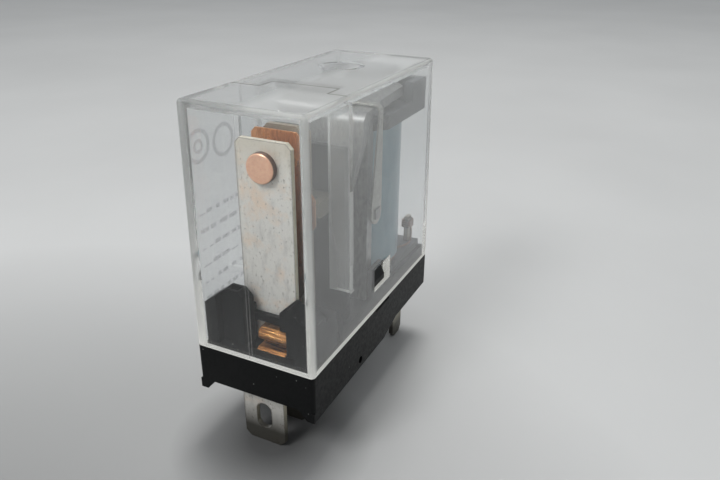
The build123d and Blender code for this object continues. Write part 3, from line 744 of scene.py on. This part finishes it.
def make_blob(name, side, base_z, height, material):
    """The solder that runs over a lead's turns, a rounded block swollen round the post."""
    rng = random.Random(3 if side > 0 else 4)
    segments = 28
    profile = ((-0.02, 0.02), (0.1, 0.14), (0.4, 0.19), (0.75, 0.2), (0.92, 0.13), (1.0, 0.02))
    rings = []
    for share, grow in profile:    # share of the height, and swell off the post
        ring = []
        for step in range(segments):
            angle = 2 * math.pi * step / segments
            across, along = math.cos(angle), math.sin(angle)
            round_off = (abs(across) ** 4 + abs(along) ** 4) ** 0.25
            swell = grow + rng.uniform(-0.012, 0.012)
            ring.append((
                POST_X + (0.5 + swell) * across / round_off,
                side * POST_Y + (0.25 + swell) * along / round_off,
                base_z + share * height,
            ))
        rings.append(ring)
    blob = add_mesh(name + "_solder", *loops(rings), material)
    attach(blob, "housing")


def make_lead(side, materials):
    """The winding's end: enamelled wire from the coil, wound round its post and soldered."""
    name = "coil_lead_left" if side > 0 else "coil_lead_right"
    low, high = span(name)
    height = LEAD_TURNS * LEAD_PITCH
    base_z = high[2] - height
    make_wire(name, lead_route(side, low, base_z), materials["enamelled_wire"])
    make_blob(name, side, base_z, height, materials["solder"])


def wall_point(x, z, out=0.004):
    """A point on the case's left wall, which leans in towards the top."""
    lean = CASE_DRAFT * (z - CASE_Z[0]) / (CASE_Z[1] - CASE_Z[0])
    return (x, CASE_HALF_Y - lean + out, z)


def make_marks(material):
    """Plain generic print on the left wall: rings, and rows of dashes."""
    points, faces = [], []

    def ring(x, z, inner, outer):
        steps = 40
        first = len(points)
        for step in range(steps + 1):
            angle = 2 * math.pi * step / steps
            for radius in (inner, outer):
                points.append(wall_point(x + radius * math.cos(angle), z + radius * math.sin(angle)))
        for step in range(steps):
            corner = first + 2 * step
            faces.append((corner, corner + 1, corner + 3, corner + 2))

    def dash(x, z, width, height):
        first = len(points)
        for dx, dz in ((0, 0), (width, 0), (width, height), (0, height)):
            points.append(wall_point(x + dx, z + dz))
        faces.append((first, first + 1, first + 2, first + 3))

    for measures in RINGS:
        ring(*measures)
    rng = random.Random(11)
    for row in range(ROWS):
        x, z = ROW_X[0], ROW_TOP_Z - row * ROW_PITCH
        while x < ROW_X[1]:
            width = rng.choice((0.55, 0.8, 1.2))
            dash(x, z, width, 0.42 if rng.random() < 0.7 else 0.16)
            x += width + rng.choice((0.25, 0.3, 0.6))
    marks = add_mesh("printed_marks", points, faces, material, smooth=False)
    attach(marks, "housing")


# ---- stage ----

FLOOR_SIZE = 4000
PAINTED_FRONT_SHADOW = ((-52, 16, 0), 0.62, 12, 74)    # painted shadow in front, on the camera's side: middle, depth, where it starts and stops to fade
# A painted contact shadow under the front blade: middle, depth, where it starts and stops to fade.
CLOSE_SHADE = ((-12.5, -0.5, 0), 0.75, 2.5, 10.5)
SKY = 0.56                   # strength of the room's light
DIM_SIDE = (-0.85, -0.5, 0.15)
PALE, DIM = (0.96, 0.985, 1.0, 1), (0.25, 0.26, 0.27, 1)
KEY_AT, KEY_AIM, KEY_SIZE, KEY_POWER = (130, 35, 400), (0, 0, 5), 150, 0.8
FRONT_AT, FRONT_AIM, FRONT_SIZE, FRONT_POWER = (-118, 44, 150), (-14, 0, 22), 60, 0.145


def make_floor():
    """A plain pale table top, with a painted shadow in front and a painted contact shadow close under
    the object's front.
    """
    s = Surface("floor")
    colour = s.ramp(s.noise(0.02, 4.0), [(0.3, (0.525, 0.53, 0.53)), (0.7, (0.56, 0.565, 0.565))])
    # Both spots are painted shadows, blended towards near black.
    for place, depth, inner, outer in (PAINTED_FRONT_SHADOW, CLOSE_SHADE):
        painted_shadow = s.level(s.away(place), depth, 0.0, inner, outer)
        colour = s.blend(painted_shadow, colour, (0.02, 0.02, 0.02))
    s.drive("Base Color", colour)
    s.set(Roughness=0.5, Specular_IOR_Level=0.25)
    half = FLOOR_SIZE / 2
    corners = [(-half, -half, 0), (half, -half, 0), (half, half, 0), (-half, half, 0)]
    add_mesh("floor", corners, [(0, 1, 2, 3)], s.material, smooth=False)


def area_light(name, place, aim, size, power, colour=(1, 1, 1)):
    """A soft round lamp; its measures are in millimetres and watts."""
    data = bpy.data.lights.new(name, "AREA")
    data.shape = "DISK"
    data.size = size * MM
    data.energy = power
    data.color = colour
    light = bpy.data.objects.new(name, data)
    light.location = Vector(place) * MM
    light.rotation_euler = (Vector(aim) - Vector(place)).to_track_quat("-Z", "Y").to_euler()
    bpy.context.scene.collection.objects.link(light)
    return light


def make_world():
    """A soft pale room, dimmer on the side where the camera stands."""
    world = bpy.data.worlds.new("studio")
    world.use_nodes = True
    tree = world.node_tree
    sky = tree.nodes["Background"]
    sky.inputs["Strength"].default_value = SKY
    place = tree.nodes.new("ShaderNodeTexCoord")
    facing = tree.nodes.new("ShaderNodeVectorMath")
    facing.operation = "DOT_PRODUCT"
    facing.inputs[1].default_value = Vector(DIM_SIDE).normalized()
    ramp = tree.nodes.new("ShaderNodeValToRGB")
    for end, position, colour in zip(ramp.color_ramp.elements, (0.35, 0.95), (PALE, DIM)):
        end.position = position
        end.color = colour
    tree.links.new(place.outputs["Generated"], facing.inputs[0])
    tree.links.new(facing.outputs["Value"], ramp.inputs[0])
    tree.links.new(ramp.outputs[0], sky.inputs["Color"])
    bpy.context.scene.world = world


def make_lights():
    """A key from above and behind, a weak lamp in front and the room's own light."""
    make_world()
    key = area_light("key", KEY_AT, KEY_AIM, KEY_SIZE, KEY_POWER, (1, 0.99, 0.97))
    key.visible_glossy = False    # its image in the flat roof would hide what is under the roof
    key.visible_transmission = False
    area_light("front", FRONT_AT, FRONT_AIM, FRONT_SIZE, FRONT_POWER)
    bpy.context.scene.view_settings.view_transform = "Standard"


# ---- the scene ----

cycles = bpy.context.scene.cycles
cycles.max_bounces = 32          # light crosses many clear walls and ribs
cycles.transmission_bounces = 32
cycles.transparent_max_bounces = 32
cycles.glossy_bounces = 16
make_camera()
finishes = make_materials()
dress(finishes)
make_winding(finishes["enamelled_wire"])
make_tape(finishes["blue_tape"])
make_lead(1, finishes)
make_lead(-1, finishes)
make_marks(finishes["grey_ink"])
make_floor()
make_lights()
